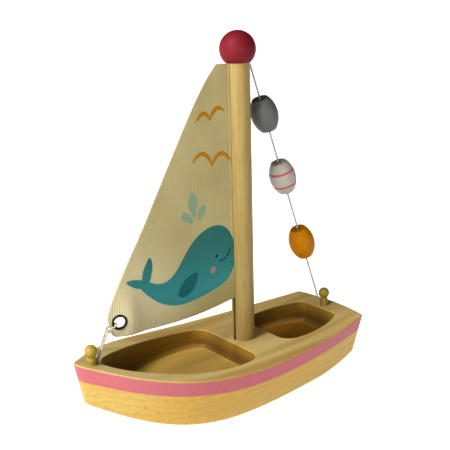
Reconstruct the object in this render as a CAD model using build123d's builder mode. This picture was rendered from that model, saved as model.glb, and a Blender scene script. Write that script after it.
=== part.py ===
"""Toy sailing boat: solid beech hull with two cockpits, slotted mast, cloth sail and a beaded stay.

Frame: +X towards the bow, +Y to port, +Z up, in millimetres.
The origin is on the resting plane, under the middle of the whole boat.
"""

import os
from math import pi, sqrt

from build123d import *

os.makedirs("parts", exist_ok=True)

# ---- driving dimensions -------------------------------------------------------------------
# Hull, a solid block with a curved deck line and a curved underside
BOW_X = 116.0
STERN_X = -116.0
DECK_Z = 33.0
SHEER_FORE_X = -18.0
SHEER_FORE_RADIUS = 425.0
SHEER_AFT_X = -24.0
SHEER_AFT_RADIUS = 950.0
FLAT_FORE_X = 14.0
FLAT_AFT_X = -62.0
ROCKER_FORE_RADIUS = 200.0
ROCKER_AFT_RADIUS = 170.0
PLAN_Z = 54.0
BLOCK_TOP_Z = 58.0
KEEL_LENGTH_FACTOR = 0.908
KEEL_BEAM_FACTOR = 0.80
TRANSOM_CORNER = (-117.8, 38.3)
TRANSOM_BULGE_X = -121.2
SIDE_STATIONS = [
    (-78.0, 47.4),
    (-38.0, 53.4),
    (0.0, 56.4),
    (34.0, 54.2),
    (64.0, 46.0),
    (90.0, 29.6),
    (110.0, 9.4),
]
DECK_EDGE_RADIUS = 1.0
KEEL_EDGE_RADIUS = 4.0
DECK_CORNER_RADIUS = 2.0
KEEL_CORNER_RADIUS = 4.5
SECTION_OVERRUN = 8.0
SECTION_HALF_WIDTH = 70.0
LEVEL_FACE_NORMAL = 0.8

# Cockpits, routed from the deck down to one flat floor
FLOOR_Z = 19.0
FLOOR_RADIUS = 4.0
RIM_RADIUS = 0.6
FORE_COCKPIT_AFT_X = -10.9
FORE_COCKPIT_AFT_HALF_WIDTH = 33.5
FORE_COCKPIT_SIDE = [(20.6, 37.7), (52.3, 31.8), (76.0, 20.8), (89.4, 10.7)]
FORE_COCKPIT_NOSE_X = 95.2
FORE_COCKPIT_CORNER_RADIUS = 12.0
AFT_COCKPIT_FORE = (-43.2, 25.8)
AFT_COCKPIT_WIDEST = (-68.0, 28.5)
AFT_COCKPIT_AFT = (-101.6, 18.9)
AFT_COCKPIT_FORE_CORNER_RADIUS = 12.0
AFT_COCKPIT_AFT_CORNER_RADIUS = 8.0

# Mast, a dowel sawn open along its front for the sail, with a ball pinned on top
GLUE_GAP = 0.05
TOLERANCE = 0.01
MAST_X = -24.0
MAST_RADIUS = 8.25
MAST_FOOT_Z = 13.0
MAST_TOP_Z = 234.0
KERF_WIDTH = 2.4
KERF_DEPTH = 5.4
BALL_RADIUS = 12.5
BALL_FLAT_BELOW_CENTRE = 9.1
PIN_RADIUS = 2.5
PIN_DEPTH = 9.0
NOTCH_WIDTH = 1.5
NOTCH_DEPTH = 1.6

# Pegs, one turned pattern at bow and stern
BOW_PEG_X = 103.5
STERN_PEG_X = -107.5
PEG_STEM_RADIUS = 3.3
PEG_NECK_RADIUS = 2.7
PEG_BALL_RADIUS = 4.25
PEG_FOOT_BELOW_BALL = 19.2
PEG_SHOULDER_BELOW_BALL = 6.0
PEG_NECK_BELOW_BALL = 4.4
PEG_BALL_Z = {BOW_PEG_X: 59.7, STERN_PEG_X: 46.9}
PEG_FILLET_RADIUS = 0.4

# Sail, one flat panel in the centre plane, with its front edge folded into the kerf
SAIL_THICKNESS = 0.9
SAIL_LUFF_X = -14.9
SAIL_HEAD_Z = 233.6
SAIL_FOOT = [(SAIL_LUFF_X, 66.0), (2.0, 63.4), (22.0, 61.8), (44.0, 61.5), (66.0, 62.4), (85.8, 63.7)]
SAIL_LEECH = [
    (88.9, 77.5),
    (81.8, 96.3),
    (58.6, 134.8),
    (35.5, 173.9),
    (18.0, 203.6),
    (4.2, 223.3),
    (-5.4, 234.3),
]
SAIL_CLEW_RADIUS = 3.0
LUFF_THICKNESS = 1.6
LUFF_OUTER_X = -15.4

# Grommet near the clew
GROMMET_X = 80.8
GROMMET_Z = 73.5
GROMMET_RADIUS = 5.6
GROMMET_BORE_RADIUS = 3.6
GROMMET_BARREL_RADIUS = 4.2
GROMMET_FLANGE = 0.8
GROMMET_ROLL_RADIUS = 0.35

# Cords
CORD_RADIUS = 0.65
STAY_START = (-27.0, 0.0, 233.2)
STAY_CORNER = (-34.2, 0.0, 233.2)
STAY_FOOT = (-103.5, 0.0, 37.1)
STAY_END = (-103.5, 0.0, 32.2)
STAY_RADII = [2.0, 1.3]
CLEW_ROUTE = [
    (99.5, 0.68, 45.7),
    (99.5, 0.68, 50.2),
    (91.4, 1.0, 69.0),
    (89.0, 2.1, 70.8),
    (83.0, 2.1, 72.8),
    (83.0, -2.1, 72.8),
    (89.0, -2.1, 70.8),
    (91.4, -1.0, 69.0),
    (99.5, -0.68, 50.2),
    (99.5, -0.68, 45.7),
]
CLEW_RADII = [1.3, 1.3, 1.3, 1.9, 1.9, 1.3, 1.3, 1.3]
CLEW_KNOT_CENTRE = (90.4, 0.0, 70.0)
CLEW_KNOT_RADIUS = 2.5
# Slots beside the peg holes, where the cord ends are trapped against the pegs, by width across the boat
CORD_SLOT_REACH = 1.45
CORD_SLOT_DEPTH = 5.4
CORD_SLOTS = [(BOW_PEG_X, -1, 2.8), (STERN_PEG_X, 1, 1.45)]

# Beads, three alike on the stay, each resting on a knot
BEAD_LENGTH = 24.0
BEAD_RADIUS = 9.75
BEAD_END_RADIUS = 5.75
BEAD_BORE_RADIUS = 1.75
BEAD_MOUTH_RADIUS = 2.6
BEAD_MOUTH_DEPTH = 1.1
BEAD_EDGE_RADIUS = 1.2
BEAD_HEIGHTS = {"bead_grey": 196.3, "bead_striped": 148.5, "bead_orange": 94.5}
STAY_KNOT_RADIUS = 2.0
STAY_KNOT_BELOW_BEAD = 0.6


def rise(radius, distance):
    """Height of a circle's lowest arc at a horizontal distance from its lowest point."""
    return radius - sqrt(radius**2 - distance**2)


def deck_height(x):
    """Height of the curved deck line at a station."""
    if x > SHEER_FORE_X:
        return DECK_Z + rise(SHEER_FORE_RADIUS, x - SHEER_FORE_X)
    return DECK_Z + rise(SHEER_AFT_RADIUS, min(0, x - SHEER_AFT_X))


def sagging_arc(low_x, low_z, end_x, radius):
    """Arc that leaves its lowest point level and rises towards end_x."""
    middle_x = (low_x + end_x) / 2
    middle = (middle_x, low_z + rise(radius, abs(middle_x - low_x)))
    end = (end_x, low_z + rise(radius, abs(end_x - low_x)))
    return ThreePointArc((low_x, low_z), middle, end)


def hull_outline(z):
    """Closed plan of the hull at a height: pointed bow, convex transom, sides that flare upwards."""
    length_factor = KEEL_LENGTH_FACTOR + (1 - KEEL_LENGTH_FACTOR) * z / PLAN_Z
    beam_factor = KEEL_BEAM_FACTOR + (1 - KEEL_BEAM_FACTOR) * z / PLAN_Z
    port = [(TRANSOM_CORNER[0] * length_factor, TRANSOM_CORNER[1] * beam_factor)]
    port += [(x * length_factor, y * beam_factor) for x, y in SIDE_STATIONS]
    nose = (BOW_X * length_factor, 0)
    starboard = [(x, -y) for x, y in reversed(port)]
    Spline(*port, nose, *starboard)
    ThreePointArc(starboard[-1], (TRANSOM_BULGE_X * length_factor, 0), port[0])


# ---- hull ---------------------------------------------------------------------------------
with BuildPart() as hull:
    with BuildSketch(Plane.XY):
        with BuildLine():
            hull_outline(0)
        make_face()
        fillet(vertices(), KEEL_CORNER_RADIUS)
    with BuildSketch(Plane.XY.offset(BLOCK_TOP_Z)):
        with BuildLine():
            hull_outline(BLOCK_TOP_Z)
        make_face()
        fillet(vertices(), DECK_CORNER_RADIUS)
    loft(ruled=True)

    with BuildSketch(Plane.XZ):
        with BuildLine():
            fore_deck = sagging_arc(SHEER_FORE_X, DECK_Z, BOW_X + SECTION_OVERRUN, SHEER_FORE_RADIUS)
            Line((SHEER_FORE_X, DECK_Z), (SHEER_AFT_X, DECK_Z))
            aft_deck = sagging_arc(SHEER_AFT_X, DECK_Z, STERN_X - SECTION_OVERRUN, SHEER_AFT_RADIUS)
            Line((FLAT_AFT_X, 0), (FLAT_FORE_X, 0))
            fore_keel = sagging_arc(FLAT_FORE_X, 0, BOW_X + SECTION_OVERRUN, ROCKER_FORE_RADIUS)
            aft_keel = sagging_arc(FLAT_AFT_X, 0, STERN_X - SECTION_OVERRUN, ROCKER_AFT_RADIUS)
            Line(fore_keel @ 1, fore_deck @ 1)
            Line(aft_keel @ 1, aft_deck @ 1)
        make_face()
    extrude(amount=SECTION_HALF_WIDTH, both=True, mode=Mode.INTERSECT)

    keel_faces = hull.faces().filter_by(lambda face: face.normal_at().Z < -LEVEL_FACE_NORMAL)
    fillet(keel_faces.edges().filter_by(GeomType.LINE, reverse=True), KEEL_EDGE_RADIUS)
    deck_faces = hull.faces().filter_by(lambda face: face.normal_at().Z > LEVEL_FACE_NORMAL)
    fillet(deck_faces.edges().filter_by(GeomType.LINE, reverse=True), DECK_EDGE_RADIUS)

    with BuildSketch(Plane.XY.offset(FLOOR_Z)):
        with BuildLine():
            aft_end = (FORE_COCKPIT_AFT_X, FORE_COCKPIT_AFT_HALF_WIDTH)
            nose = (FORE_COCKPIT_NOSE_X, 0)
            side = [aft_end, *FORE_COCKPIT_SIDE, nose, *[(x, -y) for x, y in reversed(FORE_COCKPIT_SIDE)]]
            Spline(*side, (aft_end[0], -aft_end[1]))
            Line((aft_end[0], -aft_end[1]), aft_end)
        make_face()
        corners = vertices().sort_by(Axis.X)[:2]
        fillet(corners, FORE_COCKPIT_CORNER_RADIUS)
    with BuildSketch(Plane.XY.offset(FLOOR_Z)):
        with BuildLine():
            ThreePointArc(AFT_COCKPIT_FORE, AFT_COCKPIT_WIDEST, AFT_COCKPIT_AFT)
            mirror(about=Plane.XZ)
            for x, y in (AFT_COCKPIT_FORE, AFT_COCKPIT_AFT):
                Line((x, -y), (x, y))
        make_face()
        fillet(vertices().group_by(Axis.X)[-1], AFT_COCKPIT_FORE_CORNER_RADIUS)
        fillet(vertices().group_by(Axis.X)[0], AFT_COCKPIT_AFT_CORNER_RADIUS)
    extrude(amount=BLOCK_TOP_Z, mode=Mode.SUBTRACT)
    floor_edges = hull.edges().filter_by_position(Axis.Z, FLOOR_Z - TOLERANCE, FLOOR_Z + TOLERANCE)
    fillet(floor_edges, FLOOR_RADIUS)
    level_faces = hull.faces().filter_by(lambda face: face.normal_at().Z > LEVEL_FACE_NORMAL)
    deck_faces = level_faces.filter_by(lambda face: face.center().Z > (FLOOR_Z + DECK_Z) / 2)
    rims = [wire for face in deck_faces for wire in face.inner_wires()]
    fillet([edge for wire in rims for edge in wire.edges()], RIM_RADIUS)

    with BuildSketch(Plane.XY.offset(MAST_FOOT_Z)):
        with Locations((MAST_X, 0)):
            Circle(MAST_RADIUS + GLUE_GAP)
    extrude(amount=BLOCK_TOP_Z, mode=Mode.SUBTRACT)
    for x, ball_z in PEG_BALL_Z.items():
        with BuildSketch(Plane.XY.offset(ball_z - PEG_FOOT_BELOW_BALL)):
            with Locations((x, 0)):
                Circle(PEG_STEM_RADIUS + GLUE_GAP)
        extrude(amount=BLOCK_TOP_Z, mode=Mode.SUBTRACT)
    for x, side, width in CORD_SLOTS:
        reach = PEG_STEM_RADIUS + GLUE_GAP + CORD_SLOT_REACH
        with BuildSketch(Plane.XY.offset(deck_height(x) - CORD_SLOT_DEPTH)):
            with Locations((x + side * reach / 2, 0)):
                Rectangle(reach, width)
        extrude(amount=BLOCK_TOP_Z, mode=Mode.SUBTRACT)
hull.part.label = "hull"
export_step(hull.part, "parts/hull.step")
print("hull", hull.part.is_valid, round(hull.part.volume), hull.part.bounding_box())

# ---- mast, ball and pin -------------------------------------------------------------------
with BuildPart() as mast:
    with BuildSketch(Plane.XY.offset(MAST_FOOT_Z)):
        with Locations((MAST_X, 0)):
            Circle(MAST_RADIUS)
        with Locations((MAST_X + MAST_RADIUS, 0)):
            Rectangle(2 * KERF_DEPTH, KERF_WIDTH, mode=Mode.SUBTRACT)
    extrude(amount=MAST_TOP_Z - MAST_FOOT_Z)
    with BuildSketch(Plane.XY.offset(MAST_TOP_Z)):
        with Locations((MAST_X, 0)):
            Circle(PIN_RADIUS + GLUE_GAP)
    extrude(amount=-PIN_DEPTH, mode=Mode.SUBTRACT)
    with BuildSketch(Plane.XY.offset(MAST_TOP_Z)):
        with Locations((MAST_X - MAST_RADIUS, 0)):
            Rectangle(2 * (MAST_RADIUS - PIN_RADIUS), NOTCH_WIDTH)
    extrude(amount=-NOTCH_DEPTH, mode=Mode.SUBTRACT)
mast.part.label = "mast"
export_step(mast.part, "parts/mast.step")

ball_centre_z = MAST_TOP_Z + BALL_FLAT_BELOW_CENTRE
with BuildPart() as mast_ball:
    with BuildSketch(Plane.XZ):
        with Locations((MAST_X, ball_centre_z)):
            Circle(BALL_RADIUS)
        with Locations((MAST_X, MAST_TOP_Z)):
            Rectangle(4 * BALL_RADIUS, 2 * BALL_RADIUS, align=(Align.CENTER, Align.MAX), mode=Mode.SUBTRACT)
            Rectangle(
                2 * (PIN_RADIUS + GLUE_GAP),
                PIN_DEPTH,
                align=(Align.CENTER, Align.MIN),
                mode=Mode.SUBTRACT,
            )
        with Locations((MAST_X, ball_centre_z)):
            Rectangle(2 * BALL_RADIUS, 4 * BALL_RADIUS, align=(Align.MAX, Align.CENTER), mode=Mode.SUBTRACT)
    revolve(axis=Axis((MAST_X, 0, 0), (0, 0, 1)))
mast_ball.part.label = "mast_ball"
export_step(mast_ball.part, "parts/mast_ball.step")

with BuildPart() as mast_head_pin:
    with BuildSketch(Plane.XY.offset(MAST_TOP_Z - PIN_DEPTH + GLUE_GAP)):
        with Locations((MAST_X, 0)):
            Circle(PIN_RADIUS)
    extrude(amount=2 * (PIN_DEPTH - GLUE_GAP))
mast_head_pin.part.label = "mast_head_pin"
export_step(mast_head_pin.part, "parts/mast_head_pin.step")


# ---- pegs ---------------------------------------------------------------------------------
def peg_profile(x, ball_z):
    """Half section of a turned peg: spigot, stem, rounded shoulder, neck and ball."""
    foot_z = ball_z - PEG_FOOT_BELOW_BALL + GLUE_GAP
    shoulder_z = ball_z - PEG_SHOULDER_BELOW_BALL
    neck_z = ball_z - PEG_NECK_BELOW_BALL
    ball_foot_z = ball_z - sqrt(PEG_BALL_RADIUS**2 - PEG_NECK_RADIUS**2)
    FilletPolyline(
        (x, foot_z),
        (x + PEG_STEM_RADIUS, foot_z),
        (x + PEG_STEM_RADIUS, shoulder_z),
        (x + PEG_NECK_RADIUS, neck_z),
        (x + PEG_NECK_RADIUS, ball_foot_z),
        radius=PEG_FILLET_RADIUS,
    )
    ThreePointArc(
        (x + PEG_NECK_RADIUS, ball_foot_z),
        (x + PEG_BALL_RADIUS, ball_z),
        (x, ball_z + PEG_BALL_RADIUS),
    )
    Line((x, ball_z + PEG_BALL_RADIUS), (x, foot_z))


for peg_name, peg_x in (("bow_peg", BOW_PEG_X), ("stern_peg", STERN_PEG_X)):
    with BuildPart() as peg:
        with BuildSketch(Plane.XZ):
            with BuildLine():
                peg_profile(peg_x, PEG_BALL_Z[peg_x])
            make_face()
        revolve(axis=Axis((peg_x, 0, 0), (0, 0, 1)))
    peg.part.label = peg_name
    export_step(peg.part, f"parts/{peg_name}.step")

# ---- sail ---------------------------------------------------------------------------------
with BuildPart() as sail:
    with BuildSketch(Plane.XZ):
        with BuildLine():
            Line((SAIL_LUFF_X, SAIL_HEAD_Z), SAIL_FOOT[0])
            Spline(*SAIL_FOOT)
            Line(SAIL_FOOT[-1], SAIL_LEECH[0])
            Spline(*SAIL_LEECH)
            Line(SAIL_LEECH[-1], (SAIL_LUFF_X, SAIL_HEAD_Z))
        make_face()
        fillet(vertices().sort_by(Axis.X)[-2:], SAIL_CLEW_RADIUS)
        with Locations((GROMMET_X, GROMMET_Z)):
            Circle(GROMMET_BARREL_RADIUS + GLUE_GAP, mode=Mode.SUBTRACT)
    extrude(amount=SAIL_THICKNESS / 2, both=True)
sail.part.label = "sail"
export_step(sail.part, "parts/sail.step")

kerf_floor_x = MAST_X + MAST_RADIUS - KERF_DEPTH
with BuildPart() as sail_luff:
    with BuildSketch(Plane.XZ):
        with Locations((LUFF_OUTER_X, SAIL_HEAD_Z)):
            Rectangle(
                LUFF_OUTER_X - kerf_floor_x - GLUE_GAP,
                SAIL_HEAD_Z - SAIL_FOOT[0][1],
                align=(Align.MAX, Align.MAX),
            )
    extrude(amount=LUFF_THICKNESS / 2, both=True)
sail_luff.part.label = "sail_luff"
export_step(sail_luff.part, "parts/sail_luff.step")

# ---- grommet, pressed through the sail from port ------------------------------------------
grommet_plane = Plane(origin=(GROMMET_X, 0, GROMMET_Z), x_dir=(1, 0, 0), z_dir=(0, 1, 0))
half_cloth = SAIL_THICKNESS / 2
with BuildPart() as grommet:
    with BuildSketch(grommet_plane.offset(half_cloth)):
        Circle(GROMMET_RADIUS)
    extrude(amount=GROMMET_FLANGE)
    fillet(grommet.edges().group_by(Axis.Y)[-1], GROMMET_ROLL_RADIUS)
    with BuildSketch(grommet_plane.offset(-half_cloth - GROMMET_FLANGE)):
        Circle(GROMMET_BARREL_RADIUS)
    extrude(amount=SAIL_THICKNESS + GROMMET_FLANGE)
    with BuildSketch(grommet_plane.offset(-half_cloth - GROMMET_FLANGE)):
        Circle(GROMMET_BORE_RADIUS)
    extrude(amount=SAIL_THICKNESS + 2 * GROMMET_FLANGE, mode=Mode.SUBTRACT)
grommet.part.label = "grommet"
export_step(grommet.part, "parts/grommet.step")

with BuildPart() as grommet_washer:
    with BuildSketch(grommet_plane.offset(-half_cloth)):
        Circle(GROMMET_RADIUS)
    extrude(amount=-GROMMET_FLANGE)
    fillet(grommet_washer.edges().group_by(Axis.Y)[0], GROMMET_ROLL_RADIUS)
    with BuildSketch(grommet_plane.offset(-half_cloth)):
        Circle(GROMMET_BARREL_RADIUS + GLUE_GAP)
    extrude(amount=-GROMMET_FLANGE, mode=Mode.SUBTRACT)
grommet_washer.part.label = "grommet_washer"
export_step(grommet_washer.part, "parts/grommet_washer.step")


# ---- cords --------------------------------------------------------------------------------
def report_cord(name, path, tube, radii):
    """Print a cord's arc radii and its length, and its volume over section times length."""
    section = pi * CORD_RADIUS**2
    ratio = tube.volume / section / path.length
    print(name, "radii", radii, "length", round(path.length, 1), "volume ratio", round(ratio, 4))


with BuildPart() as stay_cord:
    with BuildLine() as stay_path:
        FilletPolyline(STAY_START, STAY_CORNER, STAY_FOOT, STAY_END, radius=STAY_RADII)
    with BuildSketch(Plane(origin=stay_path.wire() @ 0, z_dir=stay_path.wire() % 0)):
        Circle(CORD_RADIUS)
    sweep(path=stay_path.wire())
stay_cord.part.label = "stay_cord"
export_step(stay_cord.part, "parts/stay_cord.step")
report_cord("stay_cord", stay_path.wire(), stay_cord.part, STAY_RADII)

with BuildPart() as clew_cord:
    with BuildLine() as clew_path:
        FilletPolyline(*CLEW_ROUTE, radius=CLEW_RADII)
    with BuildSketch(Plane(origin=clew_path.wire() @ 0, z_dir=clew_path.wire() % 0)):
        Circle(CORD_RADIUS)
    sweep(path=clew_path.wire())
report_cord("clew_cord", clew_path.wire(), clew_cord.part, CLEW_RADII)
with clew_cord:
    with Locations(CLEW_KNOT_CENTRE):
        Sphere(CLEW_KNOT_RADIUS)
clew_cord.part.label = "clew_cord"
export_step(clew_cord.part, "parts/clew_cord.step")

# ---- beads and the knots that they rest on ------------------------------------------------
stay_run = Vector(*STAY_CORNER) - Vector(*STAY_FOOT)
stay_up = stay_run.normalized()


def stay_point(height):
    """Point of the stay's straight run at a height above the resting plane."""
    return Vector(*STAY_FOOT) + stay_run * ((height - STAY_FOOT[2]) / stay_run.Z)


def bead_plane(height):
    """Plane across the stay through a bead's middle, with its normal up the stay."""
    return Plane(origin=stay_point(height), x_dir=(0, 1, 0), z_dir=stay_up)


def bead_profile():
    """Half section of a barrel bead with its bore and both countersunk mouths."""
    half = BEAD_LENGTH / 2
    flat = half - BEAD_MOUTH_DEPTH
    ThreePointArc((BEAD_END_RADIUS, half), (BEAD_RADIUS, 0), (BEAD_END_RADIUS, -half))
    Polyline(
        (BEAD_END_RADIUS, -half),
        (BEAD_MOUTH_RADIUS, -half),
        (BEAD_BORE_RADIUS, -flat),
        (BEAD_BORE_RADIUS, flat),
        (BEAD_MOUTH_RADIUS, half),
        (BEAD_END_RADIUS, half),
    )


for bead_name, bead_height in BEAD_HEIGHTS.items():
    middle = bead_plane(bead_height)
    half_section = Plane(origin=middle.origin, x_dir=middle.x_dir, z_dir=-middle.y_dir)
    with BuildPart() as bead:
        with BuildSketch(half_section):
            with BuildLine():
                bead_profile()
            make_face()
            outer_corners = vertices().filter_by(lambda v: abs(v.Y - BEAD_END_RADIUS) < TOLERANCE)
            fillet(outer_corners, BEAD_EDGE_RADIUS)
        revolve(axis=Axis(middle.origin, stay_up))
    bead.part.label = bead_name
    export_step(bead.part, f"parts/{bead_name}.step")

with BuildPart() as stay_knots:
    for bead_height in BEAD_HEIGHTS.values():
        below = BEAD_LENGTH / 2 + STAY_KNOT_BELOW_BEAD
        with Locations(stay_point(bead_height) - stay_up * below):
            Sphere(STAY_KNOT_RADIUS)
stay_knots.part.label = "stay_knots"
export_step(stay_knots.part, "parts/stay_knots.step")
print("stay direction", stay_up, "stay run", stay_run.length)
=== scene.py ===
"""Toy sailing boat on a pale floor: finishes, cloth sail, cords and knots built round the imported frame."""

import math

import bmesh
import bpy
import numpy as np
from mathutils import Matrix, Vector


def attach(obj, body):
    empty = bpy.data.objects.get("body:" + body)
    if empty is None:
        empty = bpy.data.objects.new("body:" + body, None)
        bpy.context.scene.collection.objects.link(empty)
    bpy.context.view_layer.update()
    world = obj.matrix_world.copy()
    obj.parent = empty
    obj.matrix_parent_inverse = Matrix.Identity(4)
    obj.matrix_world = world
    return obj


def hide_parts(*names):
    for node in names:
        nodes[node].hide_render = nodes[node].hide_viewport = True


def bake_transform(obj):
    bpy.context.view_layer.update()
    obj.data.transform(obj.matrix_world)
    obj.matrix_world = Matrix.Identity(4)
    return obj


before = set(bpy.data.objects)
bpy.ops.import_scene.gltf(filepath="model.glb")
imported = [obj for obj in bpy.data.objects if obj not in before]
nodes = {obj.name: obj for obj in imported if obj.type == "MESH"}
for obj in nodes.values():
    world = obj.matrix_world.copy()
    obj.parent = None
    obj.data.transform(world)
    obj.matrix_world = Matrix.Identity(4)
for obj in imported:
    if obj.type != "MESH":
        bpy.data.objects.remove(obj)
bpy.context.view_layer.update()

MM = 0.001


def metres(point):
    """A point given in millimetres, as a vector in metres."""
    return Vector(point) * MM


def smooth_step(value, low, high):
    """0 below low, 1 above high, and a smooth rise between them."""
    t = np.clip((value - low) / (high - low), 0.0, 1.0)
    return t * t * (3 - 2 * t)


# ---- camera, lights and floor -------------------------------------------------------------
scene = bpy.context.scene
CAMERA_POINT = Vector((0.3434, 0.4506, 0.2839))
CAMERA_FORWARD = Vector((-0.593069, -0.757836, -0.271944)).normalized()
CAMERA_ROLL = math.radians(-1.54)
CAMERA_LENS = 67.56


def make_camera():
    """Camera with its view along CAMERA_FORWARD, turned a little about it."""
    data = bpy.data.cameras.new("camera")
    data.lens = CAMERA_LENS
    data.clip_start = 0.01
    data.clip_end = 20.0
    camera = bpy.data.objects.new("camera", data)
    scene.collection.objects.link(camera)
    level_right = CAMERA_FORWARD.cross(Vector((0, 0, 1))).normalized()
    level_up = level_right.cross(CAMERA_FORWARD)
    right = level_right * math.cos(CAMERA_ROLL) + level_up * math.sin(CAMERA_ROLL)
    up = right.cross(CAMERA_FORWARD)
    rotation = Matrix((right, up, -CAMERA_FORWARD)).transposed().to_4x4()
    camera.matrix_world = Matrix.Translation(CAMERA_POINT) @ rotation
    return camera


scene.camera = make_camera()
scene.view_settings.view_transform = "Standard"
scene.view_settings.look = "High Contrast"

LIGHT_TARGET = Vector((0.0, 0.0, 0.10))


def make_softbox(name, azimuth, elevation, distance, size, power, colour):
    """Square area light aimed at the boat. Azimuth is from +X towards +Y."""
    data = bpy.data.lights.new(name, "AREA")
    data.energy = power
    data.size = size
    data.color = colour
    lamp = bpy.data.objects.new(name, data)
    scene.collection.objects.link(lamp)
    a, e = math.radians(azimuth), math.radians(elevation)
    away = Vector((math.cos(a) * math.cos(e), math.sin(a) * math.cos(e), math.sin(e)))
    lamp.location = LIGHT_TARGET + away * distance
    lamp.rotation_euler = away.to_track_quat("Z", "Y").to_euler()


make_softbox(
    "key_light", azimuth=3, elevation=40, distance=1.2, size=0.45, power=13.0, colour=(1.0, 0.98, 0.94)
)
make_softbox(
    "front_light", azimuth=40, elevation=10, distance=1.6, size=0.8, power=3.2, colour=(1.0, 0.99, 0.96)
)
make_softbox(
    "top_light", azimuth=60, elevation=80, distance=1.6, size=1.2, power=3.0, colour=(1.0, 1.0, 1.0)
)

WORLD_STRENGTH = 0.06
world = bpy.data.worlds.new("studio")
world.use_nodes = True
background = world.node_tree.nodes["Background"]
background.inputs["Color"].default_value = (1.0, 1.0, 1.0, 1.0)
background.inputs["Strength"].default_value = WORLD_STRENGTH
scene.world = world


# ---- material helper ----------------------------------------------------------------------
class Finish:
    """One procedural material, built node by node round its Principled shader."""

    def __init__(self, name, **constants):
        self.material = bpy.data.materials.new(name)
        self.material.use_nodes = True
        self.tree = self.material.node_tree
        self.surface = self.tree.nodes["Principled BSDF"]
        for key, value in constants.items():
            self.surface.inputs[key.replace("_", " ")].default_value = value

    def put(self, socket, value):
        """Link a node's output to a socket, or set the socket to a constant."""
        if isinstance(value, bpy.types.NodeSocket):
            self.tree.links.new(value, socket)
        else:
            socket.default_value = value

    def add(self, kind, inputs=None, **settings):
        """New node with its settings and inputs."""
        node = self.tree.nodes.new(kind)
        for key, value in settings.items():
            setattr(node, key, value)
        for key, value in (inputs or {}).items():
            self.put(node.inputs[key], value)
        return node

    def math(self, operation, a, b=0.0):
        return self.add("ShaderNodeMath", {0: a, 1: b}, operation=operation).outputs[0]

    def vector(self, operation, a, b=(0.0, 0.0, 0.0), output=0):
        return self.add("ShaderNodeVectorMath", {0: a, 1: b}, operation=operation).outputs[output]

    def point(self):
        """Point of the piece at rest, in metres in the shared frame."""
        return self.add("ShaderNodeTexCoord").outputs["Object"]

    def attribute(self, name, output="Fac"):
        return self.add("ShaderNodeAttribute", attribute_name=name).outputs[output]

    def split(self, vector):
        return self.add("ShaderNodeSeparateXYZ", {0: vector}).outputs

    def scaled(self, vector, factors):
        return self.vector("MULTIPLY", vector, factors)

    def noise(self, vector, scale, detail=3.0, roughness=0.5):
        inputs = {"Vector": vector, "Scale": scale, "Detail": detail, "Roughness": roughness}
        return self.add("ShaderNodeTexNoise", inputs).outputs["Fac"]

    def step(self, value, low, high, start=0.0, end=1.0):
        """Smooth change from start to end as value goes from low to high."""
        inputs = {"Value": value, "From Min": low, "From Max": high, "To Min": start, "To Max": end}
        return self.add("ShaderNodeMapRange", inputs, interpolation_type="SMOOTHSTEP").outputs[0]

    def mix(self, factor, a, b, blend="MIX"):
        node = self.add("ShaderNodeMix", data_type="RGBA", blend_type=blend)
        self.put(node.inputs["Factor"], factor)
        self.put(node.inputs["A"], a)
        self.put(node.inputs["B"], b)
        return node.outputs["Result"]

    def bump(self, height, distance, strength):
        """Normal of a surface with that height field, where height 1 stands distance metres proud."""
        inputs = {"Height": height, "Distance": distance, "Strength": strength}
        return self.add("ShaderNodeBump", inputs).outputs["Normal"]

    def finish(self, colour, normal=None, roughness=None):
        self.put(self.surface.inputs["Base Color"], colour)
        if normal is not None:
            self.put(self.surface.inputs["Normal"], normal)
        if roughness is not None:
            self.put(self.surface.inputs["Roughness"], roughness)
        return self.material


def rgb(red, green, blue):
    """Colour from display values of 0 to 255, as the linear colour a shader takes."""

    def linear(value):
        share = value / 255
        return share / 12.92 if share <= 0.04045 else ((share + 0.055) / 1.055) ** 2.4

    return (linear(red), linear(green), linear(blue), 1.0)


# ---- wood ---------------------------------------------------------------------------------
ALONG_X = (0.05, 1.0, 1.0)
ALONG_Z = (1.0, 1.0, 0.05)


def wood_figure(finish, grain, pith, ring_spacing, light, dark, warm, figure):
    """Colour and height of lacquered pale wood: growth rings, fibre streaks, flecks and slow drift.

    Figure scales how strongly the rings and flecks show.
    """
    point = finish.point()
    stretched = finish.scaled(point, grain)
    from_pith = finish.vector("SUBTRACT", point, pith)
    across = finish.scaled(from_pith, tuple(0.0 if factor < 1 else 1.0 for factor in grain))
    radius = finish.vector("LENGTH", across, output=1)
    wobble = finish.noise(stretched, 55, 2.0)
    turns = finish.math("DIVIDE", radius, ring_spacing)
    turns = finish.math("ADD", turns, finish.math("MULTIPLY", wobble, 3.2))
    ring = finish.math("FRACT", turns)
    late_wood = finish.math("POWER", ring, 3.0)
    early_edge = finish.step(ring, 0.0, 0.12, 1.0, 0.0)
    rings = finish.math("MAXIMUM", late_wood, early_edge)
    fibre = finish.noise(stretched, 620, 3.0, 0.65)
    pores = finish.noise(finish.scaled(point, tuple(0.14 if f < 1 else 1.0 for f in grain)), 900, 2.0)
    fleck = finish.step(pores, 0.64, 0.72)
    drift = finish.noise(finish.scaled(point, tuple(0.3 if f < 1 else 1.0 for f in grain)), 26, 2.0)
    colour = finish.mix(finish.math("MULTIPLY", rings, 0.5 * figure), light, dark)
    colour = finish.mix(finish.step(drift, 0.35, 0.7, 0.0, 0.5), colour, warm)
    colour = finish.mix(finish.step(fibre, 0.38, 0.72, 0.0, 0.34), colour, dark)
    colour = finish.mix(finish.math("MULTIPLY", fleck, 0.5 * figure), colour, dark, "MULTIPLY")
    height = finish.math("ADD", finish.math("MULTIPLY", fibre, 0.6), finish.math("MULTIPLY", fleck, -0.5))
    return colour, height


WOOD_RELIEF = 0.06 * MM
LACQUER = {"Roughness": 0.5, "Specular_IOR_Level": 0.34, "Coat_Weight": 0.08, "Coat_Roughness": 0.35}


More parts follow.
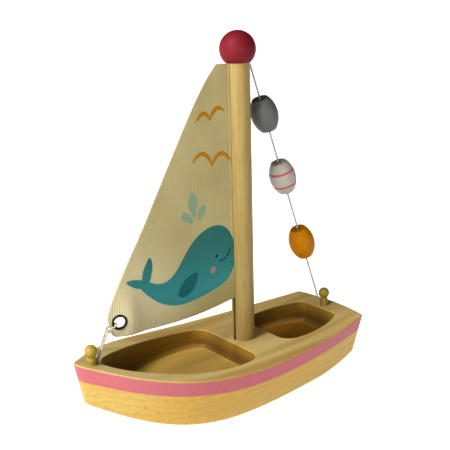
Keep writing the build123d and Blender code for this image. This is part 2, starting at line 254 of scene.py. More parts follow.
def make_wood(name, **wood):
    """Lacquered wood all over; wood holds what wood_figure takes."""
    finish = Finish(name, **LACQUER)
    colour, height = wood_figure(finish, **wood)
    return finish.finish(colour, finish.bump(height, WOOD_RELIEF, 0.6))


WOOD_LIGHT = rgb(196, 170, 104)
WOOD_DARK = rgb(166, 126, 50)
WOOD_WARM = rgb(200, 158, 70)

# Deck line: level amidships, then a circle rising to each end
DECK_Z = 33.0 * MM
SHEER_FORE_X, SHEER_FORE_RADIUS = -18.0 * MM, 425.0 * MM
SHEER_AFT_X, SHEER_AFT_RADIUS = -24.0 * MM, 950.0 * MM
BAND_TOP, BAND_BOTTOM = 1.15 * MM, 11.6 * MM
BAND_EDGE = 0.12 * MM
AFT_COCKPIT_X, COCKPITS_PART_X, FORE_COCKPIT_X = -70.0 * MM, -27.0 * MM, 35.0 * MM


def circle_rise(finish, distance, radius):
    """Height of a circle above its lowest point, at a horizontal distance from it."""
    squared = finish.math("MULTIPLY", distance, distance)
    return finish.math("SUBTRACT", radius, finish.math("SQRT", finish.math("SUBTRACT", radius**2, squared)))


def make_hull_finish():
    """Wood with a painted band under the deck edge, on the outside of the hull only."""
    finish = Finish("hull_wood_and_band", **LACQUER)
    colour, height = wood_figure(
        finish,
        grain=ALONG_X,
        pith=(0.0, 0.012, -0.075),
        ring_spacing=0.0052,
        light=WOOD_LIGHT,
        dark=WOOD_DARK,
        warm=WOOD_WARM,
        figure=0.5,
    )
    point = finish.point()
    x, _, z = finish.split(point)
    fore = finish.math("MAXIMUM", finish.math("SUBTRACT", x, SHEER_FORE_X), 0.0)
    aft = finish.math("MAXIMUM", finish.math("SUBTRACT", SHEER_AFT_X, x), 0.0)
    rise = finish.math(
        "ADD",
        circle_rise(finish, fore, SHEER_FORE_RADIUS),
        circle_rise(finish, aft, SHEER_AFT_RADIUS),
    )
    below_deck = finish.math("SUBTRACT", finish.math("ADD", rise, DECK_Z), z)
    wander = finish.math("MULTIPLY", finish.noise(point, 180, 2.0), 0.35 * MM)
    depth = finish.math("ADD", below_deck, wander)
    band = finish.math(
        "MULTIPLY",
        finish.step(depth, BAND_TOP, BAND_TOP + BAND_EDGE),
        finish.step(depth, BAND_BOTTOM, BAND_BOTTOM + BAND_EDGE, 1.0, 0.0),
    )
    # A wall faces out of the hull or into a cockpit, seen from the middle of the nearer cockpit
    fore_half = finish.step(x, COCKPITS_PART_X - 0.5 * MM, COCKPITS_PART_X + 0.5 * MM)
    apart = FORE_COCKPIT_X - AFT_COCKPIT_X
    middle_x = finish.math("ADD", finish.math("MULTIPLY", fore_half, apart), AFT_COCKPIT_X)
    middle = finish.add("ShaderNodeCombineXYZ", {"X": middle_x}).outputs[0]
    outward = finish.scaled(finish.vector("SUBTRACT", point, middle), (1.0, 1.0, 0.0))
    normal = finish.add("ShaderNodeNewGeometry").outputs["Normal"]
    facing = finish.vector("DOT_PRODUCT", outward, normal, output=1)
    outside = finish.step(facing, 0.0, 0.002)
    level = finish.step(finish.split(normal)[2], 0.55, 0.75)
    flat = finish.step(finish.split(normal)[2], 0.88, 0.98)
    steep = finish.math("SUBTRACT", 1.0, flat)
    inside = finish.math("MULTIPLY", finish.step(facing, -0.004, 0.0, 1.0, 0.0), steep)
    inside = finish.math("MULTIPLY", inside, finish.step(below_deck, 0.0, 1.2 * MM))
    band = finish.math("MULTIPLY", band, outside)
    paint_mottle = finish.noise(point, 300, 3.0)
    paint = finish.mix(finish.step(paint_mottle, 0.3, 0.75, 0.0, 0.25), rgb(185, 110, 116), rgb(171, 96, 102))
    # Routed cockpit walls are painted darker: scorch on the routed wood together with painted shade of the
    # recess, the scorch strongest where they cut across the grain and the painted shade strongest low down
    end_grain = finish.step(finish.math("ABSOLUTE", finish.split(normal)[0]), 0.2, 0.75, 0.1, 1.0)
    burn_and_depth_shade = finish.math("MULTIPLY", end_grain, finish.step(below_deck, 2 * MM, 12 * MM))
    scorch_and_shade = finish.mix(0.72, colour, rgb(134, 104, 34))
    char_and_deep_shade = finish.mix(0.85, colour, rgb(78, 48, 2))
    colour = finish.mix(finish.math("MULTIPLY", inside, 0.9), colour, finish.mix(burn_and_depth_shade, scorch_and_shade, char_and_deep_shade))
    floor = finish.math("MULTIPLY", finish.step(below_deck, 8 * MM, 11 * MM), flat)
    fore_floor = finish.math("MULTIPLY", floor, fore_half)
    # The aft cockpit floor is painted darker, a painted shadow of the mast and sail
    aft_floor_shadow = finish.math("SUBTRACT", floor, fore_floor)
    colour = finish.mix(finish.math("MULTIPLY", fore_floor, 0.4), colour, rgb(172, 152, 96))
    colour = finish.mix(finish.math("MULTIPLY", aft_floor_shadow, 0.85), colour, rgb(138, 96, 14))
    colour = finish.mix(band, colour, paint)
    deck_tone = finish.math("MULTIPLY", level, finish.step(below_deck, 4 * MM, 6 * MM, 1.0, 0.0))
    colour = finish.mix(finish.math("MULTIPLY", deck_tone, 0.6), colour, rgb(206, 190, 142))
    smudge = finish.step(finish.noise(finish.scaled(point, ALONG_X), 48, 2.0), 0.46, 0.72, 0.0, 0.55)
    colour = finish.mix(finish.math("MULTIPLY", deck_tone, smudge), colour, rgb(150, 112, 44))
    film = finish.math("ADD", finish.math("MULTIPLY", height, 0.6), finish.math("MULTIPLY", band, 1.2))
    return finish.finish(colour, finish.bump(film, WOOD_RELIEF, 0.7))


hull_finish = make_hull_finish()
mast_finish = make_wood(
    "mast_wood",
    grain=ALONG_Z,
    pith=(-0.046, -0.016, 0.0),
    ring_spacing=0.0034,
    light=rgb(170, 151, 100),
    dark=rgb(140, 118, 64),
    warm=rgb(166, 143, 86),
    figure=0.45,
)
peg_finish = make_wood(
    "peg_wood",
    grain=ALONG_Z,
    pith=(0.1, -0.02, 0.0),
    ring_spacing=0.0016,
    light=rgb(178, 160, 84),
    dark=rgb(138, 114, 42),
    warm=rgb(170, 144, 60),
    figure=0.6,
)


# ---- paint --------------------------------------------------------------------------------
STAY_UP = Vector((0.333197, 0.0, 0.942857))
STAY_FOOT_X, STAY_FOOT_Z = -103.5, 37.1
STAY_FOOT = metres((STAY_FOOT_X, 0.0, STAY_FOOT_Z))
BEAD_HEIGHTS = {"bead_grey": 196.3, "bead_striped": 148.5, "bead_orange": 94.5}
BEAD_LENGTH = 24.0 * MM
STAY_RUN_X_PER_Z = 69.3 / 196.1


def bead_centre(node):
    """Middle of a bead on the straight run of the stay."""
    height = BEAD_HEIGHTS[node] - STAY_FOOT_Z
    return STAY_FOOT + Vector((height * STAY_RUN_X_PER_Z, 0.0, height)) * MM


def paint_surface(finish, colour, thin, node):
    """Brushed matte paint on a turned bead: mottled, rubbed thin at the end edges, with fine ripples."""
    point = finish.point()
    centre = bead_centre(node)
    offset = finish.vector("SUBTRACT", point, tuple(centre))
    along = finish.vector("DOT_PRODUCT", offset, tuple(STAY_UP), output=1)
    mottle = finish.noise(point, 240, 3.0)
    colour = finish.mix(finish.step(mottle, 0.35, 0.75, 0.0, 0.35), colour, thin)
    reach = finish.math("ABSOLUTE", along)
    edge = finish.step(reach, BEAD_LENGTH / 2 - 1.6 * MM, BEAD_LENGTH / 2 - 0.2 * MM)
    worn = finish.math("MULTIPLY", edge, finish.step(finish.noise(point, 520, 2.0), 0.42, 0.62))
    colour = finish.mix(finish.math("MULTIPLY", worn, 0.55), colour, thin)
    ripple = finish.noise(finish.scaled(point, (1.0, 1.0, 2.2)), 420, 2.0)
    return along, colour, finish.bump(ripple, 0.08 * MM, 0.7)


def make_bead_finish(node, name, colour, thin, bands=()):
    """Painted bead; bands are (position, half width) along its axis, in metres, painted pink."""
    finish = Finish(name, Roughness=0.55, Specular_IOR_Level=0.2, Coat_Weight=0.03, Coat_Roughness=0.4)
    along, base, normal = paint_surface(finish, colour, thin, node)
    wander = finish.math("MULTIPLY", finish.noise(finish.point(), 160, 2.0), 0.5 * MM)
    place = finish.math("ADD", along, wander)
    for position, half_width in bands:
        distance = finish.math("ABSOLUTE", finish.math("SUBTRACT", place, position))
        ring = finish.step(distance, half_width - 0.1 * MM, half_width + 0.1 * MM, 1.0, 0.0)
        base = finish.mix(ring, base, rgb(182, 98, 114))
    return finish.finish(base, normal)


bead_finishes = {
    "bead_grey": make_bead_finish("bead_grey", "bead_grey_paint", rgb(113, 114, 114), rgb(97, 98, 98)),
    "bead_striped": make_bead_finish(
        "bead_striped",
        "bead_white_paint",
        rgb(176, 173, 164),
        rgb(160, 156, 145),
        bands=((5.4 * MM, 0.8 * MM), (-5.1 * MM, 0.8 * MM)),
    ),
    "bead_orange": make_bead_finish("bead_orange", "bead_orange_paint", rgb(186, 129, 0), rgb(168, 113, 0)),
}


def make_ball_finish():
    """Crimson satin paint on the turned ball, with a faint orange-peel ripple."""
    finish = Finish(
        "ball_paint", Roughness=0.62, Specular_IOR_Level=0.3, Coat_Weight=0.03, Coat_Roughness=0.45
    )
    point = finish.point()
    mottle = finish.noise(point, 170, 3.0)
    colour = finish.mix(finish.step(mottle, 0.3, 0.75, 0.0, 0.4), rgb(128, 36, 50), rgb(112, 27, 39))
    ripple = finish.noise(point, 520, 2.0)
    return finish.finish(colour, finish.bump(ripple, 0.07 * MM, 0.6))


ball_finish = make_ball_finish()

CAD_FINISHES = {
    "hull": hull_finish,
    "mast": mast_finish,
    "mast_head_pin": mast_finish,
    "mast_ball": ball_finish,
    "bow_peg": peg_finish,
    "stern_peg": peg_finish,
    **bead_finishes,
}
for node_name, material in CAD_FINISHES.items():
    mesh = nodes[node_name].data
    mesh.materials.clear()
    mesh.materials.append(material)


# ---- sail ---------------------------------------------------------------------------------
# Flat pattern in millimetres, at the frame's x and z
LUFF_X = -20.9
KERF_MOUTH_X = -15.6
HEAD_Z = 233.6
FOOT = ((-14.9, 66.0), (2.0, 63.4), (22.0, 61.8), (44.0, 61.5), (66.0, 62.4), (85.8, 63.7))
LEECH = (
    (88.9, 77.5),
    (81.8, 96.3),
    (58.6, 134.8),
    (35.5, 173.9),
    (18.0, 203.6),
    (4.2, 223.3),
    (-5.4, 234.3),
)
CLEW_RADIUS = 3.0
SAIL_COLUMNS = 124
SAIL_ROWS = 190
CLOTH_HALF = 0.27
HEM_HALF = 0.72
GROMMET_CENTRE = (80.8, 73.5)
GROMMET_HOLE = 4.2
GROMMET_OUTER, GROMMET_BORE = 5.3, 3.75
HOLE_KEPT_OUT, HOLE_SNAPPED = 0.35, 1.8
CLEW_TWIST = math.radians(18.0)
BELLY_DEPTH, LONG_RIPPLE, SHORT_RIPPLE = 0.55, 0.28, 0.18
SLOPE_STEP = 0.25


def catmull_rom(p0, p1, p2, p3, t):
    """Point between p1 and p2, at share t of the way, on the smooth curve through all four."""
    return 0.5 * (
        2 * p1 + (p2 - p0) * t + (2 * p0 - 5 * p1 + 4 * p2 - p3) * t**2 + (3 * p1 - p0 - 3 * p2 + p3) * t**3
    )


def smooth_line(controls, steps=16):
    """Open Catmull-Rom curve through the controls."""
    controls = np.asarray(controls, float)
    padded = np.concatenate([[2 * controls[0] - controls[1]], controls, [2 * controls[-1] - controls[-2]]])
    result = []
    for p0, p1, p2, p3 in zip(padded, padded[1:], padded[2:], padded[3:]):
        for t in np.arange(steps) / steps:
            result.append(catmull_rom(p0, p1, p2, p3, t))
    return np.array([*result, controls[-1]])


def distances_along(points):
    """How far along a polyline each of its points lies."""
    return np.concatenate([[0.0], np.cumsum(np.linalg.norm(np.diff(points, axis=0), axis=1))])


def resampled(points, count):
    """The polyline through points, as count points evenly spaced along it."""
    points = np.asarray(points, float)
    lengths = distances_along(points)
    places = np.linspace(0, lengths[-1], count)
    return np.stack([np.interp(places, lengths, points[:, k]) for k in range(points.shape[1])], axis=1)


def rounded(points, corner, radius):
    """The polyline with a bend in place of everything within a radius of a corner, measured along it."""
    points = np.asarray(points, float)
    lengths = distances_along(points)
    at = lengths[corner]
    start, end = (
        np.array([np.interp(place, lengths, points[:, k]) for k in (0, 1)])
        for place in (at - radius, at + radius)
    )
    t = np.linspace(0, 1, 9)[:, None]
    bend = (1 - t) ** 2 * start + 2 * t * (1 - t) * points[corner] + t**2 * end
    return np.concatenate([points[lengths < at - radius], bend, points[lengths > at + radius]])


def sail_pattern():
    """Grid of flat pattern points, rows from foot to head and columns from luff to leech."""
    foot = np.concatenate([[(LUFF_X, FOOT[0][1] + 0.4)], smooth_line(FOOT)])
    outer = np.concatenate([foot, smooth_line(LEECH)])
    outer = rounded(outer, len(foot), CLEW_RADIUS)
    outer = rounded(outer, len(foot) - 1, CLEW_RADIUS)
    split = int(np.linalg.norm(outer - FOOT[-1], axis=1).argmin())
    foot = resampled(outer[: split + 1], SAIL_COLUMNS + 1)
    leech = resampled(outer[split:], SAIL_ROWS + 1)
    luff = np.linspace(foot[0], (LUFF_X, HEAD_Z), SAIL_ROWS + 1)
    head = np.linspace((LUFF_X, HEAD_Z), LEECH[-1], SAIL_COLUMNS + 1)
    u = np.linspace(0, 1, SAIL_COLUMNS + 1)[None, :, None]
    v = np.linspace(0, 1, SAIL_ROWS + 1)[:, None, None]
    across = (1 - u) * luff[:, None] + u * leech[:, None]
    upward = (1 - v) * foot[None] + v * head[None]
    corners = (
        (1 - u) * (1 - v) * foot[0] + u * (1 - v) * foot[-1] + (1 - u) * v * head[0] + u * v * head[-1]
    )
    return across + upward - corners


def sail_offset(x, z):
    """Sideways place of the cloth's middle, in millimetres: a slight belly, a twist at the clew."""
    free = smooth_step(x, KERF_MOUTH_X, KERF_MOUTH_X + 22)
    along, up = np.clip((x + 15) / 100, 0, 1), (z - 66) / 168
    belly = BELLY_DEPTH * np.sin(up * math.pi) * np.sin(along * math.pi)
    ripple = LONG_RIPPLE * np.sin(z / 19.0 + x / 31.0) * smooth_step(x, 5, 60)
    ripple += SHORT_RIPPLE * np.sin(x / 9.5 - z / 24.0 + 1.3)
    ahead, above = x - GROMMET_CENTRE[0], z - GROMMET_CENTRE[1]
    flat_grommet = smooth_step(np.hypot(ahead, above), 6.0, 14.0)
    reach = np.clip(np.hypot(ahead, 0.6 * above) - GROMMET_OUTER, 0, None)
    twist = -math.tan(CLEW_TWIST) * ahead * np.exp(-((reach / 8.5) ** 2))
    return free * (belly + ripple * flat_grommet) + twist


def polyline_distance(points, chain, closed):
    """Distance of each point from a polyline."""
    best = np.full(len(points), 1e9)
    ends = list(zip(chain[:-1], chain[1:])) + ([(chain[-1], chain[0])] if closed else [])
    for a, b in ends:
        a, b = np.asarray(a, float), np.asarray(b, float)
        run = b - a
        t = np.clip(((points - a) @ run) / max(run @ run, 1e-9), 0, 1)
        best = np.minimum(best, np.linalg.norm(points - a - t[:, None] * run, axis=1))
    return best


def inside_polygon(points, chain):
    """Whether each point lies inside a closed polygon."""
    result = np.zeros(len(points), bool)
    for (ax, ay), (bx, by) in zip(chain, np.roll(chain, -1, axis=0)):
        crosses = (ay > points[:, 1]) != (by > points[:, 1])
        at = (bx - ax) * (points[:, 1] - ay) / (by - ay + 1e-12) + ax
        result ^= crosses & (points[:, 0] < at)
    return result


def smooth_loop(controls, steps=8):
    """Closed Catmull-Rom curve through the controls."""
    controls = np.asarray(controls, float)
    result = []
    for i in range(len(controls)):
        p0, p1, p2, p3 = (controls[(i + k) % len(controls)] for k in (-1, 0, 1, 2))
        for t in np.arange(steps) / steps:
            result.append(catmull_rom(p0, p1, p2, p3, t))
    return np.array(result)


def shape_field(points, controls):
    """Signed distance from a smooth closed shape, positive inside it."""
    loop = smooth_loop(controls)
    distance = polyline_distance(points, loop, True)
    return np.where(inside_polygon(points, loop), distance, -distance)


def stroke_field(points, start, middle, end, half_width, taper):
    """Signed distance from a curved brush stroke that is widest in its middle."""
    t = np.linspace(0, 1, 13)[:, None]
    start, middle, end = (np.asarray(p, float) for p in (start, middle, end))
    control = 2 * middle - (start + end) / 2
    chain = (1 - t) ** 2 * start + 2 * t * (1 - t) * control + t**2 * end
    best = np.full(len(points), -1e9)
    for i in range(len(chain) - 1):
        share = (i + 0.5) / (len(chain) - 1)
        width = half_width * (1 - taper * abs(2 * share - 1) ** 2)
        best = np.maximum(best, width - polyline_distance(points, chain[i : i + 2], False))
    return best


# The picture on the sail is a close copy of the real one and not a generic drawing. It needs another
# drawing in its place, or none, before the part is reused.
WHALE_BODY = (
    (57.5, 96.0),
    (50.5, 92.8),
    (43.0, 92.6),
    (36.0, 96.6),
    (29.0, 104.8),
    (20.5, 114.8),
    (10.5, 121.6),
    (-1.0, 123.8),
    (-10.5, 119.6),
    (-15.8, 110.6),
    (-17.0, 99.0),
    (-15.0, 88.6),
    (-8.6, 81.0),
    (3.0, 76.6),
    (18.0, 73.6),
    (33.0, 73.2),
    (46.0, 77.2),
    (57.0, 85.4),
    (64.0, 93.4),
    (62.5, 97.2),
)
WHALE_FLUKES = (
    ((61.0, 92.8), (66.4, 93.4), (71.4, 96.4), (74.4, 99.6), (69.4, 100.0), (64.0, 98.8), (59.4, 96.6)),
    ((61.6, 96.8), (61.4, 102.6), (59.0, 108.2), (55.4, 112.8), (53.6, 107.6), (54.4, 101.2), (56.6, 95.6)),
)
WHALE_BELLY = (
    (-13.5, 86.4),
    (-4.0, 86.8),
    (9.0, 83.0),
    (22.0, 79.8),
    (35.0, 78.6),
    (30.0, 74.6),
    (16.0, 74.4),
    (2.0, 77.4),
    (-8.0, 81.6),
)
WHALE_FIN = ((33.2, 79.6), (31.4, 85.6), (25.4, 91.0), (17.2, 93.4), (17.0, 87.2), (21.6, 80.8), (27.6, 77.8))
DROPS = (
    ((17.2, 132.6), (21.6, 139.6), (22.4, 145.8), (19.0, 150.4), (15.2, 146.4), (15.0, 140.0)),
    ((13.6, 129.6), (14.4, 135.6), (11.8, 139.6), (8.4, 140.2), (7.6, 136.6), (10.2, 132.2)),
    ((18.6, 129.2), (24.6, 130.4), (28.2, 133.6), (27.6, 137.2), (24.0, 137.2), (20.6, 133.8)),
)
# Each gull: two wings, as (tip, highest point, body)
GULLS = (
    ((12.4, 198.4), (6.8, 202.6), (1.6, 197.8)),
    ((-10.2, 203.2), (-3.8, 204.6), (1.6, 197.8)),
    ((17.0, 171.2), (8.4, 175.6), (0.8, 166.8)),
    ((-14.6, 168.8), (-6.6, 173.8), (0.8, 166.8)),
)
GULL_HALF_WIDTH, GULL_TAPER = 1.5, 0.55
CHEEK_CENTRE, CHEEK_RADIUS = (2.6, 91.6), 2.5
BELLY_INSET = 0.5


def print_fields(points):
    """Signed distances from the print's parts, in millimetres, at flat pattern points."""
    x, z = points.T
    whale = shape_field(points, WHALE_BODY)
    for fluke in WHALE_FLUKES:
        whale = np.maximum(whale, shape_field(points, fluke))
    gulls = np.max([stroke_field(points, *wing, GULL_HALF_WIDTH, GULL_TAPER) for wing in GULLS], axis=0)
    drops = np.max([shape_field(points, drop) for drop in DROPS], axis=0)
    return {
        "print_whale": whale,
        "print_belly": np.minimum(shape_field(points, WHALE_BELLY), whale - BELLY_INSET),
        "print_fin": shape_field(points, WHALE_FIN),
        "print_cheek": CHEEK_RADIUS - np.hypot((x - CHEEK_CENTRE[0]) * 1.05, z - CHEEK_CENTRE[1]),
        "print_drops": drops,
        "print_gulls": gulls,
    }


def new_piece(name, mesh, material):
    """Shown object in the scene with one material."""
    piece = bpy.data.objects.new(name, mesh)
    scene.collection.objects.link(piece)
    mesh.materials.clear()
    mesh.materials.append(material)
    for face in mesh.polygons:
        face.use_smooth = True
    return piece


def rim_runs(quads):
    """Edges that only one quad has, each in that quad's direction."""
    edges = {}
    for quad in quads:
        for a, b in zip(quad, np.roll(quad, -1)):
            edges.setdefault((min(a, b), max(a, b)), []).append((a, b))
    return [runs[0] for runs in edges.values() if len(runs) == 1]


def make_sail_mesh():
    """Closed cloth, two faces about its middle, thicker in the saw cut and with a real eyelet hole."""
    pattern = sail_pattern()
    rows, columns = pattern.shape[:2]
    flat = pattern.reshape(-1, 2).copy()
    index = np.arange(rows * columns).reshape(rows, columns)
    quads = np.stack([index[:-1, :-1], index[:-1, 1:], index[1:, 1:], index[1:, :-1]], axis=-1).reshape(-1, 4)
    from_hole = np.hypot(*(flat - GROMMET_CENTRE).T)
    middle = flat[quads].mean(axis=1)
    quads = quads[np.hypot(*(middle - GROMMET_CENTRE).T) > GROMMET_HOLE + HOLE_KEPT_OUT]
    for v in sorted({v for run in rim_runs(quads) for v in run}):
        if from_hole[v] < GROMMET_HOLE + HOLE_SNAPPED:
            away = flat[v] - GROMMET_CENTRE
            flat[v] = GROMMET_CENTRE + away / np.linalg.norm(away) * GROMMET_HOLE
    used = np.unique(quads)
    renumber = -np.ones(len(flat), int)
    renumber[used] = np.arange(len(used))
    quads, flat = renumber[quads], flat[used]
    x, z = flat.T
    centre_y = sail_offset(x, z)
    slope_x = (sail_offset(x + SLOPE_STEP, z) - sail_offset(x - SLOPE_STEP, z)) / (2 * SLOPE_STEP)
    slope_z = (sail_offset(x, z + SLOPE_STEP) - sail_offset(x, z - SLOPE_STEP)) / (2 * SLOPE_STEP)
    normal = np.stack([-slope_x, np.ones_like(x), -slope_z], axis=1)
    normal /= np.linalg.norm(normal, axis=1)[:, None]
    half = HEM_HALF + (CLOTH_HALF - HEM_HALF) * smooth_step(x, KERF_MOUTH_X - 0.4, KERF_MOUTH_X + 1.0)
    middle = np.stack([x, centre_y, z], axis=1)
    count = len(flat)
    sides = [middle + normal * half[:, None], middle - normal * half[:, None]]
    faces = [tuple(int(v) for v in quad[::-1]) for quad in quads]
    faces += [tuple(int(v) + count for v in quad) for quad in quads]
    faces += [(int(a), int(b), int(b) + count, int(a) + count) for a, b in rim_runs(quads)]
    mesh = bpy.data.meshes.new("sail_cloth")
    mesh.from_pydata([tuple(p * MM) for p in np.concatenate(sides)], [], faces)
    mesh.validate()
    mesh.update()
    both = np.concatenate([flat, flat])
    for name, field in print_fields(both).items():
        layer = mesh.attributes.new(name, "FLOAT", "POINT")
        layer.data.foreach_set("value", field.astype(np.float32))
    place = mesh.attributes.new("flat_place", "FLOAT_VECTOR", "POINT")
    flat_places = np.stack([both[:, 0], 0 * both[:, 0], both[:, 1]], axis=1)
    place.data.foreach_set("vector", flat_places.ravel().astype(np.float32))
    return mesh, quads, middle


WARP_PITCH = 1.5
WEFT_PITCH = 1.15
PRINT_EDGE = 0.22
CANVAS_PAINTED_LIGHT = (74.0, 78.0)
CANVAS_SHADE_AND_DEEP_TONE = (-10.0, 66.0)
SMILE_CENTRE, SMILE_RADIUS = (-3.6, 106.6), 9.6
EYE_CENTRE, EYE_RADIUS = (-0.6, 101.2), 1.15


def thin_lines(finish, x, z):
    """Mask of the whale's eye and of its smile, a part of a circle, drawn at flat pattern points."""

    def distance(centre):
        east = finish.math("SUBTRACT", x, centre[0])
        north = finish.math("SUBTRACT", z, centre[1])
        offset = finish.add("ShaderNodeCombineXYZ", {"X": east, "Y": north}).outputs[0]
        return finish.vector("LENGTH", offset, output=1)

    eye = finish.step(distance(EYE_CENTRE), EYE_RADIUS - 0.15, EYE_RADIUS + 0.15, 1.0, 0.0)
    from_arc = finish.math("ABSOLUTE", finish.math("SUBTRACT", distance(SMILE_CENTRE), SMILE_RADIUS))
    arc = finish.step(from_arc, 0.25, 0.6, 1.0, 0.0)
    forward = finish.step(x, -3.6, -2.8, 1.0, 0.0)
    low = finish.step(z, 104.6, 105.4, 1.0, 0.0)
    smile = finish.math("MULTIPLY", finish.math("MULTIPLY", arc, forward), low)
    return finish.math("MAXIMUM", eye, smile)


def make_canvas():
    """Plain-weave canvas with a printed whale, gulls and drops."""
    finish = Finish(
        "sail_canvas", Roughness=0.86, Specular_IOR_Level=0.2, Sheen_Weight=0.12, Sheen_Roughness=0.5
    )
    place = finish.attribute("flat_place", "Vector")
    jitter = finish.noise(place, 0.16, 2.0)
    x, _, z = finish.split(place)
    wavy_x = finish.math("ADD", x, finish.math("MULTIPLY", jitter, 0.9))
    wavy_z = finish.math("ADD", z, finish.math("MULTIPLY", jitter, 0.7))

    def threads(value, pitch):
        return finish.math("SINE", finish.math("MULTIPLY", value, 2 * math.pi / pitch))

    warp = threads(wavy_x, WARP_PITCH)
    weft = threads(wavy_z, WEFT_PITCH)
    over = finish.math("MULTIPLY", warp, weft)
    height = finish.math("ADD", finish.math("MULTIPLY", warp, 0.5), finish.math("MULTIPLY", over, 0.35))
    height = finish.math("ADD", height, finish.math("MULTIPLY", weft, 0.15))
    slub = finish.noise(finish.scaled(place, (2.6, 1.0, 0.09)), 0.9, 3.0, 0.6)
    cross_slub = finish.noise(finish.scaled(place, (0.08, 1.0, 2.2)), 0.9, 3.0, 0.6)
    drift = finish.noise(place, 0.022, 2.0)
    colour = finish.mix(finish.step(drift, 0.3, 0.7), rgb(195, 184, 142), rgb(185, 172, 128))
    # Painted light: paler towards the clew; painted shade with a little deeper tone towards the foot of the
    # mast
    to_clew = finish.vector("DISTANCE", place, (CANVAS_PAINTED_LIGHT[0], 0.0, CANVAS_PAINTED_LIGHT[1]), output=1)
    colour = finish.mix(finish.step(to_clew, 10.0, 75.0, 0.62, 0.0), colour, rgb(224, 216, 184))
    to_luff_foot = finish.vector("DISTANCE", place, (CANVAS_SHADE_AND_DEEP_TONE[0], 0.0, CANVAS_SHADE_AND_DEEP_TONE[1]), output=1)
    colour = finish.mix(finish.step(to_luff_foot, 6.0, 48.0, 0.5, 0.0), colour, rgb(166, 152, 92))
    colour = finish.mix(finish.step(slub, 0.4, 0.75, 0.0, 0.18), colour, rgb(158, 144, 100))
    colour = finish.mix(finish.step(cross_slub, 0.45, 0.8, 0.0, 0.2), colour, rgb(206, 196, 156))
    # Painted shade in the valleys between the threads
    weave_valley_shade = finish.step(height, -0.7, 0.5, 0.15, 0.0)

    def printed(base, name, ink, strength=1.0, edge=PRINT_EDGE):
        mask = finish.step(finish.attribute(name), -edge, edge, 0.0, strength)
        return finish.mix(mask, base, ink)

    halo = finish.step(finish.attribute("print_whale"), -1.6, -0.3, 0.0, 0.3)
    colour = finish.mix(halo, colour, rgb(176, 196, 172))
    teal = finish.mix(finish.step(z, 78.0, 118.0), rgb(72, 152, 154), rgb(66, 126, 122))
    colour = printed(colour, "print_whale", teal)
    colour = printed(colour, "print_belly", rgb(96, 166, 168), 0.22)
    colour = printed(colour, "print_fin", rgb(32, 110, 118), 0.9)
    colour = printed(colour, "print_cheek", rgb(200, 136, 142), 0.7)
    colour = finish.mix(thin_lines(finish, x, z), colour, rgb(20, 58, 68))
    colour = printed(colour, "print_drops", rgb(136, 166, 146), 0.8)
    colour = printed(colour, "print_gulls", rgb(186, 134, 30))
    colour = finish.mix(weave_valley_shade, colour, rgb(120, 104, 72), "MULTIPLY")
    # The cloth's edge faces, where the normal turns away from its sides, are darker
    across = finish.math("ABSOLUTE", finish.split(finish.add("ShaderNodeNewGeometry").outputs["Normal"])[1])
    colour = finish.mix(finish.step(across, 0.3, 0.7, 0.75, 0.0), colour, rgb(116, 104, 62))
    return finish.finish(colour, finish.bump(height, 0.14 * MM, 0.8))


canvas_finish = make_canvas()
sail_mesh, sail_quads, sail_middle = make_sail_mesh()
sail_cloth = new_piece("sail_cloth", sail_mesh, canvas_finish)
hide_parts("sail", "sail_luff")
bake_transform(sail_cloth)


# ---- grommet ------------------------------------------------------------------------------
def closed_mesh(name, vertices, faces):
    """Mesh of closed surfaces, with every face looking outwards."""
    mesh = bpy.data.meshes.new(name)
    mesh.from_pydata(vertices, [], faces)
    mesh.validate()
    shape = bmesh.new()
    shape.from_mesh(mesh)
    bmesh.ops.recalc_face_normals(shape, faces=shape.faces)
    shape.to_mesh(mesh)
    shape.free()
    return mesh


def lathed(name, profile, frame_matrix, material):
    """Closed ring turned from a closed profile of (radius, height) in millimetres."""
    profile = np.asarray(profile, float)
    count = len(profile)
    vertices, faces = [], []
    for i in range(RING_SEGMENTS):
        angle = 2 * math.pi * i / RING_SEGMENTS
        for radius, height in profile:
            point = Vector((radius * math.cos(angle), radius * math.sin(angle), height)) * MM
            vertices.append(frame_matrix @ point)
        following = (i + 1) % RING_SEGMENTS
        for k in range(count):
            after = (k + 1) % count
            faces.append((i * count + k, following * count + k, following * count + after, i * count + after))
    return new_piece(name, closed_mesh(name, vertices, faces), material)


def make_antique_metal():
    """Dark plated metal, rubbed a little brighter in patches."""
    finish = Finish("antique_brass", Metallic=0.85, Specular_IOR_Level=0.5)
    point = finish.point()
    rub = finish.noise(point, 900, 3.0, 0.6)
    colour = finish.mix(finish.step(rub, 0.42, 0.72), rgb(50, 40, 34), rgb(98, 84, 68))
    roughness = finish.step(rub, 0.3, 0.7, 0.46, 0.3)
    return finish.finish(colour, finish.bump(rub, 0.03 * MM, 0.5), roughness)


metal_finish = make_antique_metal()
grommet_place = metres((GROMMET_CENTRE[0], float(sail_offset(*GROMMET_CENTRE)), GROMMET_CENTRE[1]))
turned_normal = Vector((math.sin(CLEW_TWIST), math.cos(CLEW_TWIST), 0))
ring_x = Vector((0, 0, 1))
ring_y = turned_normal.cross(ring_x)
grommet_turn = Matrix((ring_x, ring_y, turned_normal)).transposed().to_4x4()
grommet_frame = Matrix.Translation(grommet_place) @ grommet_turn
FLANGE_CROWN = 0.7
FLANGE_BASE = CLOTH_HALF + 0.02
FLANGE_STEPS = 12
BARREL_WALL = 0.35
BARREL_END = -0.75
WASHER_BORE = GROMMET_BORE + 0.4
RING_SEGMENTS = 56


def rolled_flange(side):
    """Half-round flange on one face of the cloth, as (radius, height) points."""
    middle = (GROMMET_OUTER + GROMMET_BORE) / 2
    half = (GROMMET_OUTER - GROMMET_BORE) / 2
    points = []
    for i in range(FLANGE_STEPS + 1):
        angle = math.pi * i / FLANGE_STEPS
        height = FLANGE_BASE + FLANGE_CROWN * math.sin(angle) ** 0.8
        points.append((middle + half * math.cos(angle), side * height))
    return points


